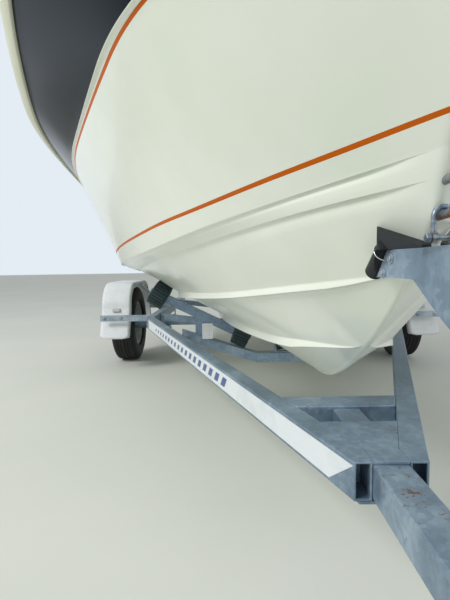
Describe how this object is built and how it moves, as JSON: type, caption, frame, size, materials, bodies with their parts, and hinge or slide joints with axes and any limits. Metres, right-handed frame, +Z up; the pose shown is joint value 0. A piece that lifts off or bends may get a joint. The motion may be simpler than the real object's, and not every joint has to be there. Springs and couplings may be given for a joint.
{
  "type": "speedboat on trailer",
  "caption": "Open-cockpit speedboat with deep-V hull, windscreen and tilted outboard engine, resting on the rollers of a single-axle galvanised trailer with winch post and jockey wheel.",
  "frame": {"origin": "on the ground under the middle of the whole object's bounding box", "axes": "+X towards the bow and the tow coupling, +Y to port, +Z up"},
  "size_m": [6.8484, 2.5, 1.8251],
  "materials": {
    "gelcoat": "glossy",
    "pale_rail": "satin",
    "stainless": "polished",
    "screen_glass": "clear",
    "upholstery": "satin",
    "black_plastic": "satin",
    "engine_grey": "satin",
    "engine_black": "glossy",
    "propeller_steel": "satin",
    "galvanised": "dull, mottled",
    "webbing": "woven",
    "teal_rubber": "satin",
    "rim_steel": "satin",
    "tyre": "dull",
    "guard_plastic": "textured",
    "lamp_clear": "glossy",
    "lamp_red": "glossy"
  },
  "bodies": {
    "boat_and_trailer": {"axle": "galvanised", "bow_eye": "stainless", "bow_rails": "stainless", "bow_roller": "stainless", "bow_snubber": "black_plastic", "cleats": "stainless", "cockpit_liner": "gelcoat", "coupling": "galvanised", "deck": "gelcoat", "drawbar": "galvanised", "frame_side_port": "galvanised", "frame_side_starboard": "galvanised", "front_cross_member": "galvanised", "guard_brackets": "galvanised", "guards": "guard_plastic", "helm_console": "gelcoat", "hull_shell": "gelcoat", "jockey_tube": "galvanised", "keel_rollers": "teal_rubber", "leaf_springs": "galvanised", "marker_lights": "lamp_clear", "motor_well": "gelcoat", "nose_plates": "galvanised", "outboard_clamp": "engine_grey", "rear_bench": "upholstery", "roller_cradles": "galvanised", "rub_rail": "pale_rail", "seats": "upholstery", "tail_lights": "lamp_red", "transom": "gelcoat", "v_beams": "galvanised", "winch_frame": "galvanised", "winch_post": "galvanised", "winch_strap": "webbing", "windscreen_frame": "stainless", "windscreen_glass": "screen_glass", "wobble_rollers": "teal_rubber"},
    "wheel_port": {"tyre_port": "tyre", "rim_port": "rim_steel", "hub_port": "galvanised"},
    "wheel_starboard": {"tyre_starboard": "tyre", "rim_starboard": "rim_steel", "hub_starboard": "galvanised"},
    "engine_tilt": {"outboard_swivel": "engine_grey"},
    "engine_steer": {"outboard_leg": "engine_grey", "outboard_cowl": "engine_black", "outboard_engine": "engine_grey"},
    "propeller_body": {"propeller": "propeller_steel"},
    "helm_wheel": {"steering_wheel": "black_plastic"},
    "hatch_lid": {"anchor_hatch": "gelcoat"},
    "winch_reel": {"winch_drum": "galvanised"},
    "jockey_slide": {"jockey_stem": "galvanised"},
    "jockey_castor": {"jockey_fork": "galvanised"},
    "jockey_roll": {"jockey_wheel": "black_plastic"}
  },
  "joints": [
    {"name": "wheel_port_spin", "type": "hinge", "parent": "boat_and_trailer", "child": "wheel_port", "pos_m": [-0.81381, 1.135, 0.305], "axis": [0, 1, 0], "continuous": true},
    {"name": "wheel_starboard_spin", "type": "hinge", "parent": "boat_and_trailer", "child": "wheel_starboard", "pos_m": [-0.81381, -1.135, 0.305], "axis": [0, 1, 0], "continuous": true},
    {"name": "engine_tilt_hinge", "type": "hinge", "parent": "boat_and_trailer", "child": "engine_tilt", "pos_m": [-2.53581, 0, 0.985], "axis": [0, 1, 0], "range_deg": [-35, 35]},
    {"name": "engine_steer_hinge", "type": "hinge", "parent": "engine_tilt", "child": "engine_steer", "pos_m": [-2.61363, 0, 1.03949], "axis": [0.5736, 0, 0.8192], "range_deg": [-30, 30]},
    {"name": "propeller_spin", "type": "hinge", "parent": "engine_steer", "child": "propeller_body", "pos_m": [-3.32765, 0, 0.62997], "axis": [-0.8192, 0, 0.5736], "continuous": true},
    {"name": "helm_wheel_turn", "type": "hinge", "parent": "boat_and_trailer", "child": "helm_wheel", "pos_m": [0.33619, -0.38, 1.29], "axis": [-0.9063, 0, 0.4226], "range_deg": [-540, 540]},
    {"name": "hatch_hinge", "type": "hinge", "parent": "boat_and_trailer", "child": "hatch_lid", "pos_m": [1.85819, 0, 1.57379], "axis": [0, -1, 0], "range_deg": [0, 95]},
    {"name": "winch_turn", "type": "hinge", "parent": "boat_and_trailer", "child": "winch_reel", "pos_m": [2.63619, 0, 0.864], "axis": [0, 1, 0], "continuous": true},
    {"name": "jockey_wind", "type": "slide", "parent": "boat_and_trailer", "child": "jockey_slide", "axis": [0, 0, 1], "range_m": [0, 0.13]},
    {"name": "jockey_swivel", "type": "hinge", "parent": "jockey_slide", "child": "jockey_castor", "pos_m": [3.01619, 0.092, 0.22], "axis": [0, 0, 1], "continuous": true},
    {"name": "jockey_wheel_spin", "type": "hinge", "parent": "jockey_castor", "child": "jockey_roll", "pos_m": [2.97119, 0.092, 0.1], "axis": [0, 1, 0], "continuous": true}
  ]
}
